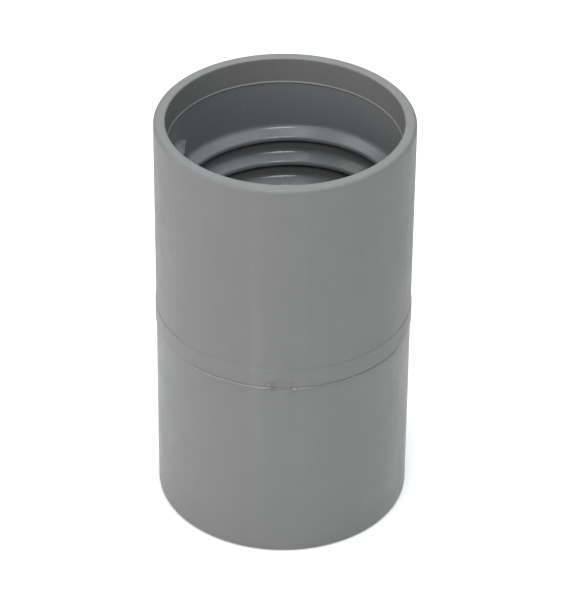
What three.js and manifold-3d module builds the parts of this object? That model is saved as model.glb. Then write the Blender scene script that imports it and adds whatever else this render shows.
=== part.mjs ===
// A swivelling coupling that joins two lengths of 38 mm helical-ribbed hose.
//
// Two identical shells meet a centre ring at the coupling's waist. Each shell holds a
// threaded sleeve that turns freely between the shell's mouth collar and the centre ring.
// A hose end is pushed in at the mouth and winds into the sleeve's left-hand thread until
// it meets a flat rubber gasket. An O-ring seals each sleeve's nose in the centre ring.
//
// Millimetres, +Z up. The origin is the centre of the lower rim, on the surface it stands on.
import * as THREE from "three";
import { mergeVertices } from "three/addons/utils/BufferGeometryUtils.js";
import Module from "manifold-3d";

const wasm = await Module();
wasm.setup();

// ---- driving dimensions ----
const LENGTH = 85; // overall, rim to rim
const HALF = LENGTH / 2;
const MOUTH_RADIUS = 25.1; // outside, at each rim
const WAIST_RADIUS = 25.08; // outside, where a shell meets the centre ring
const HOSE_RIB_RADIUS = 22.6; // outside of the hose's rib, and the root of the thread
const CLEARANCE = 0.2; // running gap round a sleeve, radial and axial
const FIT_GAP = 0.1; // gap at a pressed or glued joint
const FACETS = 48; // sides of every round piece

// ---- shell ----
const RIM_ROUND = 0.75; // radius of the rim's outer edge
const RIM_BEVEL = 0.2; // bevel of the rim's inner edge
const COLLAR_LENGTH = 5.4; // plain collar inside the mouth, which keeps the sleeve in
const COLLAR_MOUTH_RADIUS = HOSE_RIB_RADIUS + 0.2;
const COLLAR_FOOT_RADIUS = HOSE_RIB_RADIUS + 0.05;

// ---- threaded sleeve ----
const SLEEVE_WALL = 1.05; // behind the thread's root
const SLEEVE_RADIUS = HOSE_RIB_RADIUS + SLEEVE_WALL;
const POCKET_RADIUS = SLEEVE_RADIUS + CLEARANCE; // inside of the shell round the sleeve
const SLEEVE_TOP = HALF - COLLAR_LENGTH - CLEARANCE; // heights are from the middle of the coupling
const EDGE_BEVEL = 0.25;
const HOSE_BORE_RADIUS = 19.5;
const SEAT_HEIGHT = 7; // floor that the gasket lies on
const NOSE_RADIUS = 21.8;

// ---- thread, left-hand: it rises clockwise seen from the mouth ----
const PITCH = 5.7;
const THREAD_TURNS = 3.25;
const THREAD_END_ANGLE = THREE.MathUtils.degToRad(292.5); // clockwise from +Y
const THREAD_TOP = HALF - 10.9; // upper root corner of the ridge at its blunt end
const RIDGE_HEIGHT = 1.75;
const UPPER_FLANK = 1.55; // axial lengths of the ridge's three faces
const CREST_WIDTH = 0.7;
const LOWER_FLANK = 1;
const RIDGE_ROOT = 0.4; // how far the ridge runs into the sleeve's wall
const STEPS_PER_TURN = FACETS;

// ---- centre ring ----
const BAND_RADIUS = 25.2;
const BAND_HALF_WIDTH = 2.05;
const BAND_BEVEL = 0.1;
const SPIGOT_LENGTH = 3; // plugs into each shell
const SPIGOT_RADIUS = POCKET_RADIUS - FIT_GAP;
const SPIGOT_BORE = 22.95;
const SPIGOT_END = BAND_HALF_WIDTH + SPIGOT_LENGTH;
const WEB_HALF_WIDTH = 1.2; // inner flange between the two sleeves
const NOSE_END = WEB_HALF_WIDTH + 0.3;
const SHOULDER_HEIGHT = SPIGOT_END + 0.35; // underside of the sleeve, over the spigot

// ---- seals ----
const O_RING_SECTION_RADIUS = 0.7;
const O_RING_RADIUS = SPIGOT_BORE - FIT_GAP - O_RING_SECTION_RADIUS;
const O_RING_HEIGHT = 3.4;
const O_RING_SIDES = 8;
const GROOVE_RADIUS = O_RING_RADIUS - O_RING_SECTION_RADIUS - FIT_GAP;
const GROOVE_HALF_WIDTH = 0.85;
const GASKET_THICKNESS = 1.5;
const GASKET_INNER_RADIUS = 19.9;
const GASKET_OUTER_RADIUS = 22.4;

const greyPlastic = new THREE.MeshStandardMaterial({ color: 0x8a8c8b, roughness: 0.55, metalness: 0 });
const sleevePlastic = new THREE.MeshStandardMaterial({ color: 0x85888a, roughness: 0.42, metalness: 0 });
const blackRubber = new THREE.MeshStandardMaterial({ color: 0x1c1c1d, roughness: 0.8, metalness: 0 });

// ---- helpers ----

// Revolves a closed outline of [radius, height] corners, traced anticlockwise, about Z.
function revolve(outline) {
  const corners = outline.map(([radius, height]) => new THREE.Vector2(radius, height));
  const geometry = new THREE.LatheGeometry([...corners, corners[0].clone()], FACETS);
  return geometry.rotateX(Math.PI / 2);
}

// Corners of a quarter-round edge, from straight outwards to straight up.
function roundedEdge(radius, height, round, steps = 3) {
  return Array.from({ length: steps + 1 }, (_, i) => {
    const angle = (i / steps) * (Math.PI / 2);
    return [radius - round * (1 - Math.cos(angle)), height - round * (1 - Math.sin(angle))];
  });
}

function toSolid(geometry) {
  const bare = geometry.clone();
  bare.deleteAttribute("normal");
  bare.deleteAttribute("uv");
  const merged = mergeVertices(bare, 1e-4);
  return new wasm.Manifold(
    new wasm.Mesh({
      numProp: 3,
      vertProperties: new Float32Array(merged.attributes.position.array),
      triVerts: new Uint32Array(merged.index.array),
    }),
  );
}

function toGeometry(solid) {
  const mesh = solid.getMesh();
  const geometry = new THREE.BufferGeometry();
  geometry.setAttribute("position", new THREE.BufferAttribute(mesh.vertProperties, 3));
  geometry.setIndex(new THREE.BufferAttribute(mesh.triVerts, 1));
  geometry.computeVertexNormals();
  return geometry;
}

function piece(name, geometry, material) {
  const mesh = new THREE.Mesh(geometry, material);
  mesh.name = name;
  return mesh;
}

// ---- pieces, with heights measured from the middle of the coupling ----

function shellGeometry() {
  const foot = BAND_HALF_WIDTH + FIT_GAP;
  const collarFoot = HALF - COLLAR_LENGTH;
  return revolve([
    [WAIST_RADIUS, foot],
    ...roundedEdge(MOUTH_RADIUS, HALF, RIM_ROUND),
    [COLLAR_MOUTH_RADIUS + RIM_BEVEL, HALF],
    [COLLAR_MOUTH_RADIUS, HALF - RIM_BEVEL],
    [COLLAR_FOOT_RADIUS, collarFoot],
    [POCKET_RADIUS, collarFoot],
    [POCKET_RADIUS, foot],
  ]);
}

// The thread's ridge: its section extruded straight, then wound into a helix.
function ridgeGeometry() {
  const wallShare = RIDGE_ROOT / RIDGE_HEIGHT; // the flanks run on into the wall
  const section = new THREE.Shape([
    new THREE.Vector2(HOSE_RIB_RADIUS + RIDGE_ROOT, UPPER_FLANK * wallShare),
    new THREE.Vector2(HOSE_RIB_RADIUS - RIDGE_HEIGHT, -UPPER_FLANK),
    new THREE.Vector2(HOSE_RIB_RADIUS - RIDGE_HEIGHT, -UPPER_FLANK - CREST_WIDTH),
    new THREE.Vector2(
      HOSE_RIB_RADIUS + RIDGE_ROOT,
      -UPPER_FLANK - CREST_WIDTH - LOWER_FLANK * (1 + wallShare),
    ),
  ]);
  const steps = Math.round(THREAD_TURNS * STEPS_PER_TURN);
  const geometry = new THREE.ExtrudeGeometry(section, { depth: 1, steps, bevelEnabled: false });
  const position = geometry.attributes.position;
  for (let i = 0; i < position.count; i++) {
    const radius = position.getX(i);
    const turnsBack = THREAD_TURNS * (1 - position.getZ(i));
    const angle = THREAD_END_ANGLE - turnsBack * 2 * Math.PI;
    const height = THREAD_TOP + position.getY(i) - turnsBack * PITCH;
    position.setXYZ(i, radius * Math.sin(angle), radius * Math.cos(angle), height);
  }
  return geometry;
}

function sleeveGeometry() {
  const tube = revolve([
    [HOSE_BORE_RADIUS, NOSE_END],
    [NOSE_RADIUS, NOSE_END],
    [NOSE_RADIUS, O_RING_HEIGHT - GROOVE_HALF_WIDTH],
    [GROOVE_RADIUS, O_RING_HEIGHT - GROOVE_HALF_WIDTH],
    [GROOVE_RADIUS, O_RING_HEIGHT + GROOVE_HALF_WIDTH],
    [NOSE_RADIUS, O_RING_HEIGHT + GROOVE_HALF_WIDTH],
    [NOSE_RADIUS, SHOULDER_HEIGHT],
    [SLEEVE_RADIUS, SHOULDER_HEIGHT],
    [SLEEVE_RADIUS, SLEEVE_TOP - EDGE_BEVEL],
    [SLEEVE_RADIUS - EDGE_BEVEL, SLEEVE_TOP],
    [HOSE_RIB_RADIUS + EDGE_BEVEL, SLEEVE_TOP],
    [HOSE_RIB_RADIUS, SLEEVE_TOP - EDGE_BEVEL],
    [HOSE_RIB_RADIUS, SEAT_HEIGHT],
    [HOSE_BORE_RADIUS, SEAT_HEIGHT],
  ]);
  return toGeometry(toSolid(tube).add(toSolid(ridgeGeometry())));
}

function oRingGeometry() {
  const section = Array.from({ length: O_RING_SIDES }, (_, i) => {
    const angle = (i / O_RING_SIDES) * 2 * Math.PI;
    return [
      O_RING_RADIUS + O_RING_SECTION_RADIUS * Math.cos(angle),
      O_RING_HEIGHT + O_RING_SECTION_RADIUS * Math.sin(angle),
    ];
  });
  return revolve(section);
}

function gasketGeometry() {
  const bottom = SEAT_HEIGHT + FIT_GAP;
  return revolve([
    [GASKET_INNER_RADIUS, bottom],
    [GASKET_OUTER_RADIUS, bottom],
    [GASKET_OUTER_RADIUS, bottom + GASKET_THICKNESS],
    [GASKET_INNER_RADIUS, bottom + GASKET_THICKNESS],
  ]);
}

function centreRingGeometry() {
  const upperHalf = [
    [BAND_RADIUS, BAND_HALF_WIDTH - BAND_BEVEL],
    [BAND_RADIUS - BAND_BEVEL, BAND_HALF_WIDTH],
    [SPIGOT_RADIUS, BAND_HALF_WIDTH],
    [SPIGOT_RADIUS, SPIGOT_END],
    [SPIGOT_BORE, SPIGOT_END],
    [SPIGOT_BORE, WEB_HALF_WIDTH],
    [HOSE_BORE_RADIUS, WEB_HALF_WIDTH],
  ];
  const lowerHalf = upperHalf.map(([radius, height]) => [radius, -height]).reverse();
  return revolve([...lowerHalf, ...upperHalf]);
}

// ---- assembly ----

function endPieces(side) {
  const end = new THREE.Group();
  end.add(
    piece(`${side}_shell`, shellGeometry(), greyPlastic),
    piece(`${side}_threaded_sleeve`, sleeveGeometry(), sleevePlastic),
    piece(`${side}_o_ring`, oRingGeometry(), blackRubber),
    piece(`${side}_hose_gasket`, gasketGeometry(), blackRubber),
  );
  return end;
}

const coupling = new THREE.Group();
const middle = new THREE.Group();
middle.position.z = HALF;
const lowerEnd = endPieces("lower");
lowerEnd.rotation.x = Math.PI; // the same pieces, turned over
middle.add(endPieces("upper"), lowerEnd, piece("centre_ring", centreRingGeometry(), greyPlastic));
coupling.add(middle);

export default coupling;
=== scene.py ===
"""A grey plastic coupling for ribbed hose, standing on a pale floor in soft studio light.

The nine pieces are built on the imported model: two shells, a centre ring, and at each end
a threaded sleeve with its O-ring and gasket. Shapes are in millimetres and are scaled to
metres when their meshes are made. Profiles are [radius, height] outlines, traced
anticlockwise, with heights from the middle of the coupling. Angles are in degrees,
clockwise from +Y seen from above.
"""

import math

import bpy
from mathutils import Euler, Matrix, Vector, noise


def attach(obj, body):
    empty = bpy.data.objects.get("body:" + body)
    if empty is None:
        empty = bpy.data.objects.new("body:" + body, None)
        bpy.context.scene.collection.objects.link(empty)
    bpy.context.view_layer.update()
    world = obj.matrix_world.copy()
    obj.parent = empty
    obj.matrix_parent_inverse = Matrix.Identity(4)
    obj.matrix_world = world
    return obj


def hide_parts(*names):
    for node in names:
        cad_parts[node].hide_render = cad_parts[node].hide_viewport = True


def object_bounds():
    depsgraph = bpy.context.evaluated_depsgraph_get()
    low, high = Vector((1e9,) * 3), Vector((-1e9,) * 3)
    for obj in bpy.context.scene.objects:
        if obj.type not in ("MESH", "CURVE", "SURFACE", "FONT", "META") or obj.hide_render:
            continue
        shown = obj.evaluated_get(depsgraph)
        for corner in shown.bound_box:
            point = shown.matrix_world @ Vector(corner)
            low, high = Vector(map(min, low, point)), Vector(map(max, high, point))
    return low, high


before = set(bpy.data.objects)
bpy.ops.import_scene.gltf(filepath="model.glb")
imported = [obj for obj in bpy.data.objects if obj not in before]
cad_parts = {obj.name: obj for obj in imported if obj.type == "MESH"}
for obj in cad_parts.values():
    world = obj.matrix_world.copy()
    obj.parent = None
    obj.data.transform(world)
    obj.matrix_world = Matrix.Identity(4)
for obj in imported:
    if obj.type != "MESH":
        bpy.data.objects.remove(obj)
cad_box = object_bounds()

MM = 0.001
LENGTH = cad_box[1].z / MM
HALF = LENGTH / 2

# ---- shell ----
MOUTH_RADIUS = 25.1
WAIST_RADIUS = 25.08
RIM_ROUND = 0.72
RIM_INNER_ROUND = 0.3
COLLAR_MOUTH_RADIUS = 22.8
COLLAR_FOOT_RADIUS = 22.65
COLLAR_LENGTH = 5.4
LIP_RADIUS = 22.47  # fine bead round the collar's foot
LIP_HEIGHT = 0.36
POCKET_RADIUS = 23.85
SHELL_EDGE = 0.01  # chamfer of the edge beside the centre ring
WAIST_ROWS = [  # rows of the wall above that edge, close together where the flash is
    *(0.04, 0.1, 0.16, 0.22, 0.28, 0.33, 0.4),
    *(0.48 + i * 0.08 for i in range(14)),
    2.0,
]
LAST_WALL_ROW = 20
OUTSIDE = WAIST_RADIUS - 0.4  # points beyond this radius are on the outside

# ---- centre ring ----
BAND_RADIUS = 25.24
BAND_HALF_WIDTH = 2.05
BAND_CHAMFER = 0.4  # its upper edge slopes in to meet the shell
BAND_ROW = 0.1
BAND_ROWS = 37
SEAM_GAP = 0.01
SPIGOT_RADIUS = 23.75
SPIGOT_BORE = 22.95
SPIGOT_END = 5.05
WEB_HALF_WIDTH = 1.2
BORE_RADIUS = 19.5

# ---- marks left by moulding ----
GATE_ARC = -0.2  # centre, round the body from the front
GATE_HALF_WIDTH = 2.7
GATE_RISE = 1.7  # how far it reaches above and below the lower seam
GATE_DROP = 1.25
GATE_RELIEF = 0.16  # depth of the dish
GATE_RIPPLE = 0.3  # height of the ring round it, as a share of the depth
GATE_TEAR = 0.5  # height of the torn bits at its two ends
TEARS_PER_MM = 2.5
BURR_TOP = 0.16  # flash along the lower shell's edge: how far its top and foot stand out
BURR_LIP = 0.38
BURR_HEIGHT = 0.28
OPEN_SEAM = 0.14  # how far the lower seam gapes where it is widest
OPEN_SEAM_FADE = 1.2  # the wall is pulled down over this height

# ---- threaded sleeve ----
SLEEVE_RADIUS = 23.65
ROOT_RADIUS = 22.6
SLEEVE_TOP = HALF - COLLAR_LENGTH - 0.2
ROWS_TOP = SLEEVE_TOP - 1.0  # the thread's rows stop here
SEAT_HEIGHT = 7.0
NOSE_RADIUS = 21.8
NOSE_END = 1.5
SHOULDER_HEIGHT = SPIGOT_END + 0.35
PITCH = 5.7
THREAD_TURNS = 3.25
THREAD_END = 292.0  # angle where the full ridge ends
RUN_OUT = 9.5  # degrees over which the ridge tapers away
LEAST_SHARE = 0.08  # a ridge lower than this share of its section is left out
THREAD_TOP = HALF - 10.9
RIDGE = [  # section of the ridge, from the upper root down: [radius, drop, corner rounding]
    (22.6, -0.2, 1.3),
    (20.85, 1.55, 0.6),
    (20.85, 2.25, 0.25),
    (22.6, 3.25, 0.3),
]
ROOT_ROWS = (3.9, 4.4)  # drops of the rows between one turn of the ridge and the next
SNAP = 0.08  # rows of the thread this near its top or bottom edge end on it
RIDGE_POINT = 1.15  # drop at which the ridge's taper comes to a point

# ---- seals ----
O_RING_RADIUS = 22.15
O_RING_SECTION = 0.7
O_RING_HEIGHT = 3.4
GROOVE_RADIUS = 21.35
GROOVE_HALF_WIDTH = 0.85
GASKET_INNER = 19.9
GASKET_OUTER = 22.4
GASKET_BOTTOM = SEAT_HEIGHT + 0.1
GASKET_TOP = GASKET_BOTTOM + 1.5
RIB_HEIGHT = 0.12  # two fine sealing ribs on its upper face
RIB_OFFSET = 0.55
RIB_HALF_FOOT = 0.28
RIB_HALF_TOP = 0.1

# ---- mesh density, in degrees ----
COLUMN_STEP = 1.25
DENSE_STEP = 0.25


# ======== shape helpers ========


def rounded(corners, steps=5, closed=True):
    """Turns corners (radius, height, rounding) into an outline with rounded corners."""
    outline = []
    for i, (x, y, radius) in enumerate(corners):
        here = Vector((x, y))
        at_end = not closed and i in (0, len(corners) - 1)
        if radius == 0 or at_end:
            outline.append(here)
            continue
        before = Vector(corners[i - 1][:2]) - here
        after = Vector(corners[(i + 1) % len(corners)][:2]) - here
        a, b = before.normalized(), after.normalized()
        half_angle = a.angle(b) / 2
        reach = radius / math.tan(half_angle)
        centre = here + (a + b).normalized() * radius / math.sin(half_angle)
        start, end = here + a * reach - centre, here + b * reach - centre
        margin = radius * 0.15  # a close row each side keeps the shading crisp
        if before.length > reach + 2 * margin:
            outline.append(here + a * (reach + margin))
        sweep = start.angle(end)
        for k in range(steps + 1):
            t = k / steps
            way = start * math.sin((1 - t) * sweep) + end * math.sin(t * sweep)
            outline.append(centre + way / math.sin(sweep))
        if after.length > reach + 2 * margin:
            outline.append(here + b * (reach + margin))
    return [(p.x, p.y) for p in outline]


def columns(dense=()):
    """Angles of a round piece's columns, close together round each of the dense places.

    A dense place is an angle and a half width.
    """
    angles = {round(i * COLUMN_STEP, 3) for i in range(int(360 / COLUMN_STEP))}
    for centre, half_width in dense:
        steps = int(half_width / DENSE_STEP)
        for i in range(-steps, steps + 1):
            angles.add(round((centre + i * DENSE_STEP) % 360, 3))
    return [*sorted(angles), 360.0]


def smooth_step(value, start, end):
    t = min(1.0, max(0.0, (value - start) / (end - start)))
    return t * t * (3 - 2 * t)


def window(value, start, end, soft):
    """1 from start to end, and smoothly down to 0 within soft outside them."""
    rise = smooth_step(value, start - soft, start)
    return rise * (1 - smooth_step(value, end, end + soft))


def wobble(angle, scale, seed):
    """Smooth noise from -1 to 1 that closes on itself round the coupling."""
    turn = math.radians(angle)
    return noise.noise(Vector((math.sin(turn) * scale, math.cos(turn) * scale, seed)))


def make_mesh(name, grid, lower=False):
    """Closed mesh from columns of (radius, angle, height) points, the last column at 360.

    Each column is a closed loop. Points that fall together are merged, and faces left
    with no area are dropped. Radius and height are rounded first, so that points meant to
    be the same do fall together.
    """
    points, index, faces = [], {}, []

    def vertex(radius, angle, height):
        turn = math.radians(angle % 360)
        radius, height = round(radius, 4), round(height, 4)
        x, y, z = radius * math.sin(turn), radius * math.cos(turn), height
        if lower:
            y, z = -y, -z
        key = (round(x, 5), round(y, 5), round(z, 5))
        if key not in index:
            index[key] = len(points)
            points.append((x * MM, y * MM, (z + HALF) * MM))
        return index[key]

    ids = [[vertex(*p) for p in column] for column in grid]
    for column, following in zip(ids, ids[1:]):
        for j in range(len(column)):
            face = [column[j - 1], column[j], following[j], following[j - 1]]
            face = [v for n, v in enumerate(face) if v != face[n - 1]]
            if len(set(face)) > 2:
                faces.append(face)
    mesh = bpy.data.meshes.new(name)
    mesh.from_pydata(points, [], faces)
    mesh.validate()
    mesh.shade_smooth()
    return mesh


def lathe(name, outline, angles, relief=None, lower=False):
    """Revolves an outline. relief(angle, radius, height) gives added radius and height."""
    grid = []
    for angle in angles:
        ring = []
        for radius, height in outline:
            out, up = relief(angle, radius, height) if relief else (0, 0)
            ring.append((radius + out, angle, height + up))
        grid.append(ring)
    return make_mesh(name, grid, lower)


def add_piece(name, mesh, body, node, material):
    piece = bpy.data.objects.new(name, mesh)
    bpy.context.scene.collection.objects.link(piece)
    piece.data.materials.append(material)
    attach(piece, body)
    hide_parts(node)
    return piece


# ======== materials ========


class Nodes:
    """Short forms for wiring a material's nodes."""

    def __init__(self, name):
        self.material = bpy.data.materials.new(name)
        self.material.use_nodes = True
        self.tree = self.material.node_tree
        self.shader = self.tree.nodes["Principled BSDF"]
        self.position = self.tree.nodes.new("ShaderNodeTexCoord").outputs["Object"]

    def add(self, kind, **inputs):
        node = self.tree.nodes.new(kind)
        for key, value in inputs.items():
            self.put(node.inputs[key.replace("_", " ")], value)
        return node

    def put(self, socket, value):
        if isinstance(value, bpy.types.NodeSocket):
            self.tree.links.new(value, socket)
        else:
            socket.default_value = value

    def axes(self):
        """The position's X, Y and Z outputs."""
        return self.add("ShaderNodeSeparateXYZ", Vector=self.position).outputs

    def stretched(self, scale):
        node = self.add("ShaderNodeMapping", Vector=self.position, Scale=scale)
        return node.outputs["Vector"]

    def noise(self, size_mm, detail=3.0, stretch=(1, 1, 1)):
        """Noise whose features are about size_mm across."""
        vector = self.stretched(stretch)
        return self.add(
            "ShaderNodeTexNoise", Vector=vector, Scale=1 / (size_mm * MM), Detail=detail
        ).outputs["Fac"]

    def math(self, operation, a, b=0.0, clamp=False):
        node = self.tree.nodes.new("ShaderNodeMath")
        node.operation = operation
        node.use_clamp = clamp
        self.put(node.inputs[0], a)
        self.put(node.inputs[1], b)
        return node.outputs[0]

    def spread(self, value, low, high):
        """Maps noise, which lies mostly from 0.3 to 0.7, onto low to high."""
        limits = {"From_Min": 0.3, "From_Max": 0.7, "To_Min": low, "To_Max": high}
        return self.add("ShaderNodeMapRange", Value=value, **limits).outputs["Result"]

    def raised(self, brightness, share):
        """The brightness raised by a varying share."""
        return self.math("MULTIPLY", brightness, self.math("ADD", share, 1.0))

    def bell(self, value):
        """1 where the value is 0, falling away either side of it."""
        squared = self.math("MULTIPLY", value, value)
        return self.math("POWER", math.e, self.math("MULTIPLY", squared, -1.0))

    def tint(self, colour, brightness):
        """The colour times a varying brightness."""
        node = self.tree.nodes.new("ShaderNodeVectorMath")
        node.operation = "SCALE"
        node.inputs[0].default_value = colour
        self.put(node.inputs["Scale"], brightness)
        return node.outputs["Vector"]

    def bump(self, height, relief_mm, below=None):
        node = self.add(
            "ShaderNodeBump", Height=height, Distance=relief_mm * MM, Strength=1.0
        )
        if below is not None:
            self.put(node.inputs["Normal"], below)
        return node.outputs["Normal"]


def painted_highlight_streak(n, angle, half_width, strength):
    """Brightness of a painted highlight streak up the body, strongest beside the centre
    ring.
    """
    place = n.axes()
    towards_front = n.math("MULTIPLY", place["Y"], -1.0)
    round_body = n.math("ARCTAN2", place["X"], towards_front)
    wander = n.spread(n.noise(9, 2), -0.35, 0.35)
    off = n.math("SUBTRACT", round_body, math.radians(angle))
    off = n.math("ADD", n.math("DIVIDE", off, math.radians(half_width)), wander)
    from_middle = n.math("SUBTRACT", place["Z"], HALF * MM)
    along = n.bell(n.math("DIVIDE", from_middle, STREAK_REACH * MM))
    along = n.math("ADD", n.math("MULTIPLY", along, 1 - STREAK_LEAST), STREAK_LEAST)
    return n.math("MULTIPLY", n.math("MULTIPLY", n.bell(off), along), strength)


def rim_painted_highlight(n, amount):
    """Extra brightness of the rims, a painted highlight where their top faces catch the
    light.
    """
    from_middle = n.math("SUBTRACT", n.axes()["Z"], HALF * MM)
    depth = RIM_HIGHLIGHT_DEPTH
    past = n.math("SUBTRACT", n.math("ABSOLUTE", from_middle), (HALF - depth) * MM)
    near_rim = n.math("MULTIPLY", past, 1 / (depth * MM), True)
    return n.math("MULTIPLY", near_rim, n.spread(n.noise(2.2), 0.3 * amount, amount))


def flash_painted_highlight(n, radius):
    """Extra brightness of flash and torn plastic, a painted highlight reached 0.1 mm beyond
    a radius.
    """
    length = n.tree.nodes.new("ShaderNodeVectorMath")
    length.operation = "LENGTH"
    n.put(length.inputs[0], n.stretched((1, 1, 0)))
    beyond = n.math("SUBTRACT", length.outputs["Value"], radius * MM)
    standing_out = n.math("MULTIPLY", beyond, 1 / (0.1 * MM), True)
    return n.math("MULTIPLY", standing_out, FLASH_HIGHLIGHT)


def moulded_plastic(
    name, colour, roughness, grain_relief, streak, waviness=0.03, rim_highlight=0.0, painted_highlight_streaks=False,
    highlight_beyond=None,
):
    """Grey moulded plastic with fine grain and faint draw streaks along Z.

    It can also have painted highlight streaks, a painted highlight on the rims, and flash
    painted pale beyond a radius as a highlight.
    """
    n = Nodes(name)
    cloud = n.spread(n.noise(16, 2), 0.975, 1.025)
    speckle = n.spread(n.noise(0.45, 2), 0.97, 1.03)
    streaks = n.spread(n.noise(1.1, 2, stretch=(1, 1, 0.03)), 1 - streak, 1 + streak)
    brightness = n.math("MULTIPLY", n.math("MULTIPLY", cloud, speckle), streaks)
    # painted highlight: pale vertical streaks standing in for soft reflections up the body
    if painted_highlight_streaks:
        for line in HIGHLIGHT_STREAKS:
            brightness = n.raised(brightness, painted_highlight_streak(n, *line))
    # painted highlight on the rims
    if rim_highlight:
        brightness = n.raised(brightness, rim_painted_highlight(n, rim_highlight))
    # painted highlight on flash and torn plastic that stand out
    if highlight_beyond:
        brightness = n.raised(brightness, flash_painted_highlight(n, highlight_beyond))
    n.put(n.shader.inputs["Base Color"], n.tint(colour, brightness))
    rough = n.math("ADD", n.spread(n.noise(5, 3), -0.04, 0.04), roughness)
    drawn = n.spread(n.noise(0.9, 2, stretch=(1, 1, 0.04)), -0.03, 0.03)
    n.put(n.shader.inputs["Roughness"], n.math("ADD", rough, drawn))
    n.shader.inputs["IOR"].default_value = 1.5
    grain = n.bump(n.noise(0.4, 1), grain_relief)
    n.put(n.shader.inputs["Normal"], n.bump(n.noise(7, 1), waviness, below=grain))
    return n.material


def seal_rubber(name):
    """Black rubber with a dusty bloom."""
    n = Nodes(name)
    bloom = n.spread(n.noise(1.8, 4), 0.75, 1.35)
    n.put(n.shader.inputs["Base Color"], n.tint((0.02, 0.02, 0.021), bloom))
    n.put(n.shader.inputs["Roughness"], n.spread(n.noise(1.2, 3), 0.55, 0.75))
    n.put(n.shader.inputs["Normal"], n.bump(n.noise(0.25, 3), 0.012))
    return n.material


def pale_floor(name):
    n = Nodes(name)
    cloud = n.spread(n.noise(60, 2), 0.99, 1.0)
    n.put(n.shader.inputs["Base Color"], n.tint((0.9, 0.9, 0.9), cloud))
    n.shader.inputs["Roughness"].default_value = 0.9
    return n.material


# Painted highlight streaks up the body, standing in for soft reflections.
HIGHLIGHT_STREAKS = [  # degrees round from the front, half width in degrees, strength
    (-11.6, 3.0, 0.085),
    (8.0, 2.0, 0.04),
]
STREAK_REACH = 20  # how far above and below the middle they stay strong
STREAK_LEAST = 0.25  # share of their strength that they keep further off
# depth of the rims' painted highlight
RIM_HIGHLIGHT_DEPTH = 0.8
# strength of the painted highlight on flash and torn plastic
FLASH_HIGHLIGHT = 0.4
GREY = (0.1315, 0.1315, 0.1295)
# The sleeves' grey is the shell's grey made paler and cooler: painted light, standing in
# for the brighter, cooler light inside the bore.
SLEEVE_GREY_PAINTED_LIGHT = (0.145, 0.148, 0.151)
# The shells and centre ring carry painted highlights: streaks up the body, the rims, and
# flash that stands out.
upper_plastic = moulded_plastic(
    "upper_shell_plastic", GREY, 0.5,
    grain_relief=0.02, streak=0.01, rim_highlight=0.08, painted_highlight_streaks=True,
)
lower_plastic = moulded_plastic(
    "lower_shell_plastic", GREY, 0.42,
    grain_relief=0.006, streak=0.01, rim_highlight=0.08, painted_highlight_streaks=True,
    highlight_beyond=WAIST_RADIUS + 0.14,
)
band_plastic = moulded_plastic(
    "centre_ring_plastic", GREY, 0.48,
    grain_relief=0.012, streak=0.01, painted_highlight_streaks=True,
    highlight_beyond=BAND_RADIUS + 0.02,
)
# paler, cooler grey: painted light inside the bore
sleeve_plastic = moulded_plastic(
    "sleeve_plastic", SLEEVE_GREY_PAINTED_LIGHT, 0.22,
    grain_relief=0.004, streak=0.006, waviness=0.005,
)
rubber = seal_rubber("seal_rubber")

# ======== shells and centre ring ========


def gate_arc(angle):
    """Distance round the body from the middle of the gate mark."""
    return math.radians(180 - angle) * WAIST_RADIUS - GATE_ARC


def gate_mark(angle, height):
    """Relief of the torn gate mark at the front of the lower seam."""
    arc = gate_arc(angle)
    rise = height + BAND_HALF_WIDTH
    reach = GATE_RISE if rise > 0 else GATE_DROP
    distance = math.hypot(arc / GATE_HALF_WIDTH, rise / reach)  # 1 at the dish's edge
    if distance > 2:
        return 0.0
    dished = 1 - smooth_step(distance, 0.84, 1.0)
    ripple = GATE_RIPPLE * math.exp(-(((distance - 1.4) / 0.12) ** 2))
    place = Vector((arc * TEARS_PER_MM, rise * TEARS_PER_MM, 3.0))
    torn = max(0.0, 0.25 + noise.noise(place))
    torn *= window(abs(arc), 1.4, GATE_HALF_WIDTH, 0.3) * window(rise, -0.4, 0.5, 0.2)
    return GATE_TEAR * torn - GATE_RELIEF * (dished - ripple)


def burr(angle):
    """How far the lower seam's flash stands out, as a share, at an angle in the scene.

    The front is at 180. The flash is strongest from the gate mark to the camera's left.
    """
    along = 0.2 + 0.55 * window(angle, 122, 220, 8) + 0.25 * window(angle, 172, 220, 8)
    broken_off = 1 - 0.6 * window(abs(gate_arc(angle)), 0, 1.2, 0.5)
    return along * broken_off * (0.85 + 0.5 * wobble(angle, 9, 1.0))


def seam_opening(angle):
    """How far the lower seam gapes, as a share, at an angle in the scene.

    It gapes most on the camera's right.
    """
    along = 0.5 * window(angle, 165, 224, 6) + window(angle, 122, 162, 3)
    dashes = smooth_step(wobble(angle, 14, 7.0), -0.4, 0.1)
    return along * (0.45 + 0.55 * dashes)


def lower_relief(angle, radius, height):
    """Gate mark, flash and gaping seam of the lower shell, in its own upside-down frame."""
    scene_angle = (180 - angle) % 360
    below_seam = height - BAND_HALF_WIDTH - SEAM_GAP
    if radius < OUTSIDE or below_seam > WAIST_ROWS[-1]:
        return (0.0, 0.0)
    out = gate_mark(scene_angle, -height)
    if below_seam < BURR_HEIGHT + 0.01:
        flash = BURR_TOP + (BURR_LIP - BURR_TOP) * below_seam / BURR_HEIGHT
        out += flash * burr(scene_angle)
    fade = 1 - smooth_step(below_seam, 0.0, OPEN_SEAM_FADE)
    return (out, OPEN_SEAM * seam_opening(scene_angle) * fade)


def band_relief(angle, radius, height):
    if radius < OUTSIDE:
        return (0.0, 0.0)
    return (gate_mark(angle, height), 0.0)


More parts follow.
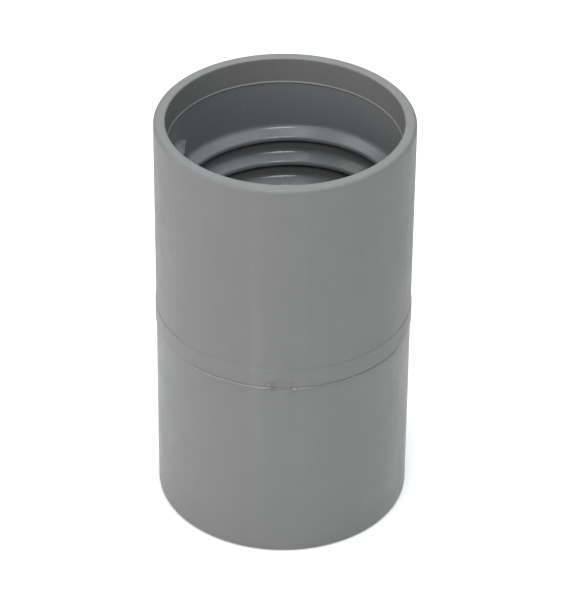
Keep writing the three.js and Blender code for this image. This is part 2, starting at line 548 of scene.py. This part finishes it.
def shell_outline():
    foot = BAND_HALF_WIDTH + SEAM_GAP
    collar_foot = HALF - COLLAR_LENGTH
    taper = (MOUTH_RADIUS - WAIST_RADIUS) / (HALF - foot)
    rises = [*WAIST_ROWS, LAST_WALL_ROW]
    wall = [(WAIST_RADIUS + taper * rise, foot + rise, 0) for rise in rises]
    return rounded(
        [
            (WAIST_RADIUS - SHELL_EDGE, foot, 0),
            (WAIST_RADIUS, foot + SHELL_EDGE, 0),
            *wall,
            (MOUTH_RADIUS, HALF, RIM_ROUND),
            (COLLAR_MOUTH_RADIUS, HALF, RIM_INNER_ROUND),
            (COLLAR_FOOT_RADIUS, collar_foot + LIP_HEIGHT, 0.05),
            (LIP_RADIUS, collar_foot + LIP_HEIGHT * 0.5, 0.05),
            (LIP_RADIUS, collar_foot, 0.04),
            (POCKET_RADIUS, collar_foot, 0),
            (POCKET_RADIUS, foot, 0),
        ]
    )


def band_outline():
    face = [(BAND_RADIUS, -BAND_HALF_WIDTH + i * BAND_ROW, 0) for i in range(BAND_ROWS)]
    upper = [
        (BAND_RADIUS, BAND_HALF_WIDTH - BAND_CHAMFER, 0),
        (WAIST_RADIUS + 0.02, BAND_HALF_WIDTH - 0.04, 0),
        (WAIST_RADIUS, BAND_HALF_WIDTH, 0),
        (SPIGOT_RADIUS, BAND_HALF_WIDTH, 0),
        (SPIGOT_RADIUS, SPIGOT_END, 0.15),
        (SPIGOT_BORE, SPIGOT_END, 0.15),
        (SPIGOT_BORE, WEB_HALF_WIDTH, 0),
        (BORE_RADIUS, WEB_HALF_WIDTH, 0.4),
    ]
    below = [(radius, -height, rounding) for radius, height, rounding in upper[:1:-1]]
    return rounded([*below, *face, *upper])


front_and_back = columns(dense=[(0, 9), (180, 9)])
add_piece(
    "upper_shell_casing",
    lathe("upper_shell_casing", shell_outline(), front_and_back),
    "housing", "upper_shell", upper_plastic,
)
add_piece(
    "lower_shell_casing",
    lathe("lower_shell_casing", shell_outline(), front_and_back, lower_relief, lower=True),
    "housing", "lower_shell", lower_plastic,
)
add_piece(
    "centre_band",
    lathe("centre_band", band_outline(), front_and_back, band_relief),
    "housing", "centre_ring", band_plastic,
)

# ======== sleeves ========


def sleeve_back():
    """Outside, nose and floor of a sleeve, from its top edge round to its seat."""
    corners = [
        (ROOT_RADIUS, SEAT_HEIGHT, 0),
        (BORE_RADIUS, SEAT_HEIGHT, 0.2),
        (BORE_RADIUS, NOSE_END, 0.2),
        (NOSE_RADIUS, NOSE_END, 0.2),
        (NOSE_RADIUS, O_RING_HEIGHT - GROOVE_HALF_WIDTH, 0.08),
        (GROOVE_RADIUS, O_RING_HEIGHT - GROOVE_HALF_WIDTH, 0.1),
        (GROOVE_RADIUS, O_RING_HEIGHT + GROOVE_HALF_WIDTH, 0.1),
        (NOSE_RADIUS, O_RING_HEIGHT + GROOVE_HALF_WIDTH, 0.08),
        (NOSE_RADIUS, SHOULDER_HEIGHT, 0),
        (SLEEVE_RADIUS, SHOULDER_HEIGHT, 0.2),
        (SLEEVE_RADIUS, SLEEVE_TOP, 0.25),
        (ROOT_RADIUS, SLEEVE_TOP, 0.06),
        (ROOT_RADIUS, ROWS_TOP, 0),
    ]
    return rounded(corners, closed=False)


def ridge_height(angle):
    """Share of the ridge's full section at an angle counted along the whole thread."""
    start = THREAD_END - THREAD_TURNS * 360
    up = min(1.0, max(0.0, (angle - (start - RUN_OUT)) / RUN_OUT))
    down = min(1.0, max(0.0, (THREAD_END + RUN_OUT - angle) / RUN_OUT))
    share = min(up, down)
    return share if share > LEAST_SHARE else 0.0


def thread_rows():
    """(radius, drop, on the ridge) of the rows over one pitch, from the top down.

    The lead-in and lead-out only give the ridge's end corners their directions.
    """
    lead_in = (ROOT_RADIUS, -1.5, 0)
    lead_out = (ROOT_RADIUS, PITCH - 0.6, 0)
    outline = rounded([lead_in, *RIDGE, lead_out], closed=False)[1:-1]
    rows = [(radius, drop, True) for radius, drop in outline]
    return rows + [(ROOT_RADIUS, drop, False) for drop in ROOT_ROWS]


def sleeve_mesh(name, lower):
    """The rows climb one pitch a turn, so at 360 they meet the next turn's rows."""
    back = sleeve_back()
    rows = thread_rows()
    top, bottom = ROWS_TOP, SEAT_HEIGHT
    turns_down = int((top - bottom) / PITCH) + 4
    thread_start = (THREAD_END - THREAD_TURNS * 360) % 360
    ends = [(THREAD_END + RUN_OUT / 2, 6), (thread_start, 6)]
    grid = []
    for angle in columns(dense=ends):
        ring = [(radius, angle, height) for radius, height in back]
        for turn in range(3, -turns_down, -1):
            along = angle + turn * 360
            share = ridge_height(along)
            start = THREAD_TOP - (THREAD_END - along) / 360 * PITCH
            for radius, drop, on_ridge in rows:
                if on_ridge:
                    drop = RIDGE_POINT + (drop - RIDGE_POINT) * share
                    radius = ROOT_RADIUS + (radius - ROOT_RADIUS) * share
                height = start - drop
                if height > top - SNAP:
                    height = top
                elif height < bottom + SNAP:
                    height = bottom
                ring.append((radius, angle, height))
        grid.append(ring)
    return make_mesh(name, grid, lower)


def o_ring_outline():
    sides = 24
    turns = [i / sides * 2 * math.pi for i in range(sides)]
    return [
        (
            O_RING_RADIUS + O_RING_SECTION * math.cos(t),
            O_RING_HEIGHT + O_RING_SECTION * math.sin(t),
        )
        for t in turns
    ]


def gasket_outline():
    """A flat washer with two fine sealing ribs on its upper face."""
    middle = (GASKET_INNER + GASKET_OUTER) / 2
    face = GASKET_TOP - RIB_HEIGHT
    ribs = []
    for centre in (middle + RIB_OFFSET, middle - RIB_OFFSET):
        ribs += [
            (centre + RIB_HALF_FOOT, face, 0.04),
            (centre + RIB_HALF_TOP, GASKET_TOP, 0.05),
            (centre - RIB_HALF_TOP, GASKET_TOP, 0.05),
            (centre - RIB_HALF_FOOT, face, 0.04),
        ]
    return rounded(
        [
            (GASKET_INNER, GASKET_BOTTOM, 0.12),
            (GASKET_OUTER, GASKET_BOTTOM, 0.12),
            (GASKET_OUTER, face, 0.15),
            *ribs,
            (GASKET_INNER, face, 0.15),
        ],
        steps=3,
    )


for side in ("upper", "lower"):
    lower = side == "lower"
    body = side + "_sleeve"
    add_piece(
        side + "_sleeve_thread", sleeve_mesh(side + "_sleeve_thread", lower),
        body, side + "_threaded_sleeve", sleeve_plastic,
    )
    add_piece(
        side + "_nose_seal",
        lathe(side + "_nose_seal", o_ring_outline(), columns(), lower=lower),
        body, side + "_o_ring", rubber,
    )
    add_piece(
        side + "_gasket",
        lathe(side + "_gasket", gasket_outline(), columns(), lower=lower),
        body, side + "_hose_gasket", rubber,
    )

# ======== floor, lights and camera ========

FLOOR_HALF_WIDTH = 3.0
floor_mesh = bpy.data.meshes.new("floor")
w = FLOOR_HALF_WIDTH
floor_mesh.from_pydata([(-w, -w, 0), (w, -w, 0), (w, w, 0), (-w, w, 0)], [], [(0, 1, 2, 3)])
floor = bpy.data.objects.new("floor", floor_mesh)
bpy.context.scene.collection.objects.link(floor)
floor_mesh.materials.append(pale_floor("pale_floor"))

scene = bpy.context.scene
scene.view_settings.view_transform = "Standard"
world = bpy.data.worlds.new("studio")
scene.world = world
world.use_nodes = True
world.node_tree.nodes["Background"].inputs["Color"].default_value = (0.97, 1.0, 1.02, 1.0)
world.node_tree.nodes["Background"].inputs["Strength"].default_value = 0.3

MIDDLE = Vector((0, 0, HALF * MM))


def softbox(name, azimuth, elevation, distance, size, power, colour=(1.0, 1.0, 1.0)):
    """A light panel aimed at the coupling. Azimuth 0 is the camera's side, 90 its right."""
    a, e = math.radians(azimuth), math.radians(elevation)
    data = bpy.data.lights.new(name, "AREA")
    data.shape = "RECTANGLE"
    data.size, data.size_y = size
    data.energy = power
    data.color = colour
    light = bpy.data.objects.new(name, data)
    way = Vector((math.sin(a) * math.cos(e), -math.cos(a) * math.cos(e), math.sin(e)))
    light.location = MIDDLE + way * distance
    light.rotation_euler = (-way).to_track_quat("-Z", "Y").to_euler()
    scene.collection.objects.link(light)


WARM = (1.0, 0.99, 0.95)
COOL = (0.95, 1.0, 0.995)
SKY = (0.96, 1.0, 1.04)
softbox("zenith", 0, 88, 0.9, (0.4, 0.4), 3.1, SKY)
softbox("overhead", 22, 76, 0.9, (0.9, 0.25), 3.0, SKY)
softbox("key", 1, 45, 1.3, (0.5, 0.2), 4.9)
softbox("front_low", -24, 17, 1.3, (0.6, 0.4), 4.0)
softbox("left", -100, 33, 0.8, (0.5, 0.7), 1.9, WARM)
softbox("right", 112, 25, 0.8, (0.5, 0.7), 0.6, COOL)
softbox("left_front", -60, 16, 0.9, (0.7, 0.5), 1.8, WARM)
softbox("right_front", 60, 55, 0.9, (0.5, 0.5), 0.6, COOL)
softbox("back", 180, 45, 0.9, (0.7, 0.5), 2.8)

CAMERA_ELEVATION = 34.96
CAMERA_ROLL = 0.515
CAMERA_DISTANCE = 0.625
camera_data = bpy.data.cameras.new("camera")
camera_data.sensor_width = 36.0
camera_data.lens = 189.4
camera_data.shift_x = -0.0017
camera_data.shift_y = 0.0035
camera_data.clip_start = 0.01
camera = bpy.data.objects.new("camera", camera_data)
tilt = math.radians(CAMERA_ELEVATION)
way = Vector((0, -math.cos(tilt), math.sin(tilt)))
camera.location = MIDDLE + way * CAMERA_DISTANCE
aim = (-way).to_track_quat("-Z", "Y")
camera.rotation_euler = (
    aim.to_matrix() @ Euler((0, 0, math.radians(CAMERA_ROLL))).to_matrix()
).to_euler()
scene.collection.objects.link(camera)
scene.camera = camera
